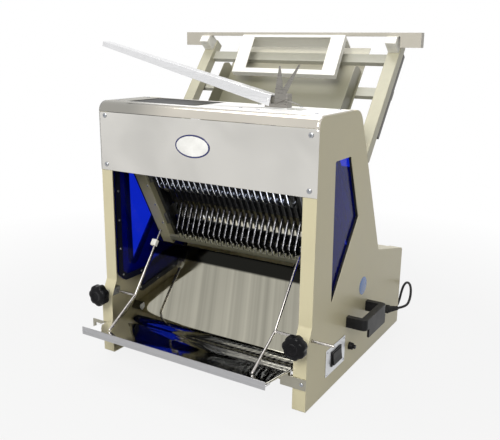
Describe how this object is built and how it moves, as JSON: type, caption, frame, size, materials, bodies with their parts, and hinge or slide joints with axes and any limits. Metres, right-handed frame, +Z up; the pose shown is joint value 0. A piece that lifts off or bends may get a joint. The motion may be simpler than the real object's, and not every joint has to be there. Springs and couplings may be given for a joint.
{
  "type": "bread slicing machine",
  "caption": "Bench-top gravity-feed bread slicer: two blade frames driven by an eccentric shaft, sloping feed trough with sliding pusher, polished discharge tray, mains motor.",
  "frame": {"origin": "centre of the outer box's base, on the surface that the rubber feet stand on, measured without the cord", "axes": "+X to the operator's right, +Y to the rear, +Z up"},
  "size_m": [0.666, 0.8135, 0.7786],
  "materials": {
    "cream_paint": "satin powder coat, cream",
    "olive_paint": "satin powder coat, olive beige",
    "white_paint": "satin powder coat, off-white",
    "polished_steel": "mirror-polished stainless sheet",
    "brushed_steel": "fine brushed stainless",
    "blade_steel": "bright hardened strip",
    "machined_steel": "turned and oiled",
    "zinc_steel": "zinc plated",
    "aluminium": "brushed plate",
    "dark_paint": "dark blue-black paint",
    "black_plate": "black lacquer",
    "blue_acrylic": "deep blue transparent acrylic",
    "rubber": "black rubber",
    "cord_jacket": "black flexible jacket",
    "black_plastic": "moulded, lightly grained",
    "nylon": "white nylon",
    "motor_grey": "painted casting",
    "label_blank": "blank printed-label stock"
  },
  "bodies": {
    "frame": {"right_side_housing": "cream_paint", "left_side_housing": "cream_paint", "window_gaskets": "rubber", "window_panels": "blue_acrylic", "window_retainers": "dark_paint", "front_cover": "polished_steel", "top_cover": "polished_steel", "top_hatch_plate": "black_plate", "rear_slope_cover": "cream_paint", "rear_box_cover": "cream_paint", "base_plate": "zinc_steel", "rubber_feet": "rubber", "inner_plates": "dark_paint", "blade_rails": "olive_paint", "nylon_guides": "nylon", "lower_comb": "olive_paint", "upper_comb": "brushed_steel", "bearing_blocks": "machined_steel", "drive_belt": "rubber", "motor": "motor_grey", "motor_mount": "zinc_steel", "feed_floor": "olive_paint", "feed_fences": "olive_paint", "feed_rails": "olive_paint", "feed_rail_strips": "dark_paint", "feed_cross_beams": "cream_paint", "discharge_chute": "polished_steel", "chute_walls": "polished_steel", "tray_lip": "brushed_steel", "tray_straps": "brushed_steel", "arm_bracket": "brushed_steel", "switch_plate": "aluminium", "switch_bezel": "black_plastic", "breaker_body": "black_plastic", "carry_handle": "black_plastic", "blank_labels": "label_blank", "screws": "zinc_steel", "strain_relief": "cord_jacket", "mains_cord": "cord_jacket", "mains_coil": "cord_jacket", "mains_plug": "black_plastic"},
    "crank": {"crankshaft": "machined_steel", "crank_pulley": "machined_steel"},
    "motor_rotor": {"motor_pulley": "machined_steel"},
    "front_rods": {"front_connecting_rods": "machined_steel"},
    "rear_rods": {"rear_connecting_rods": "machined_steel"},
    "front_blade_carriage": {"front_blade_frame": "zinc_steel", "front_blades": "blade_steel"},
    "rear_blade_carriage": {"rear_blade_frame": "zinc_steel", "rear_blades": "blade_steel"},
    "pusher": {"pusher_tray": "white_paint", "pusher_handle": "white_paint", "pusher_pads": "nylon"},
    "right_rod": {"right_guide_rod": "polished_steel"},
    "left_rod": {"left_guide_rod": "polished_steel"},
    "right_knob": {"right_clamp_knob": "black_plastic"},
    "left_knob": {"left_clamp_knob": "black_plastic"},
    "rocker": {"rocker_switch": "black_plastic"},
    "reset": {"reset_button": "black_plastic"},
    "arm": {"bagging_arm": "brushed_steel"}
  },
  "joints": [
    {"name": "crank_turn", "type": "hinge", "parent": "frame", "child": "crank", "pos_m": [0, -0.16835, 0.57279], "axis": [1, 0, 0], "continuous": true},
    {"name": "motor_turn", "type": "hinge", "parent": "frame", "child": "motor_rotor", "pos_m": [0, 0.222, 0.1], "axis": [1, 0, 0], "continuous": true},
    {"name": "front_rod_swing", "type": "hinge", "parent": "crank", "child": "front_rods", "pos_m": [0, -0.16456, 0.56575], "axis": [1, 0, 0], "continuous": true},
    {"name": "rear_rod_swing", "type": "hinge", "parent": "crank", "child": "rear_rods", "pos_m": [0, -0.17214, 0.57983], "axis": [1, 0, 0], "continuous": true},
    {"name": "front_blade_stroke", "type": "slide", "parent": "frame", "child": "front_blade_carriage", "axis": [0, 0.4741, -0.8805], "range_m": [-0.008, 0.008]},
    {"name": "rear_blade_stroke", "type": "slide", "parent": "frame", "child": "rear_blade_carriage", "axis": [0, 0.4741, -0.8805], "range_m": [-0.008, 0.008]},
    {"name": "pusher_slide", "type": "slide", "parent": "frame", "child": "pusher", "axis": [0, -0.6198, -0.7848], "range_m": [0, 0.25]},
    {"name": "right_rod_tilt", "type": "hinge", "parent": "frame", "child": "right_rod", "pos_m": [0.193, -0.212, 0.16], "axis": [1, 0, 0], "range_deg": [-12, 0]},
    {"name": "left_rod_tilt", "type": "hinge", "parent": "frame", "child": "left_rod", "pos_m": [-0.193, -0.212, 0.16], "axis": [1, 0, 0], "range_deg": [-12, 0]},
    {"name": "right_knob_turn", "type": "hinge", "parent": "frame", "child": "right_knob", "pos_m": [0.2645, -0.26, 0.16], "axis": [0, 1, 0], "range_deg": [0, 360]},
    {"name": "left_knob_turn", "type": "hinge", "parent": "frame", "child": "left_knob", "pos_m": [-0.2645, -0.26, 0.16], "axis": [0, 1, 0], "range_deg": [0, 360]},
    {"name": "rocker_tilt", "type": "hinge", "parent": "frame", "child": "rocker", "pos_m": [0.2822, -0.087, 0.076], "axis": [0, 1, 0], "range_deg": [0, 13]},
    {"name": "reset_press", "type": "slide", "parent": "frame", "child": "reset", "axis": [-1, 0, 0], "range_m": [0, 0.003], "stiffness_N_per_m": 400},
    {"name": "bagging_arm_swing", "type": "hinge", "parent": "frame", "child": "arm", "pos_m": [0.122, -0.127, 0.637], "axis": [0, 1, 0], "range_deg": [-11, 60]}
  ],
  "couplings": [
    {"joint": "motor_turn", "follows": "crank_turn", "ratio": 1.878},
    {"joint": "front_rod_swing", "follows": "crank_turn", "ratio": -1},
    {"joint": "rear_rod_swing", "follows": "crank_turn", "ratio": -1},
    {"joint": "rear_blade_stroke", "follows": "front_blade_stroke", "ratio": -1}
  ]
}
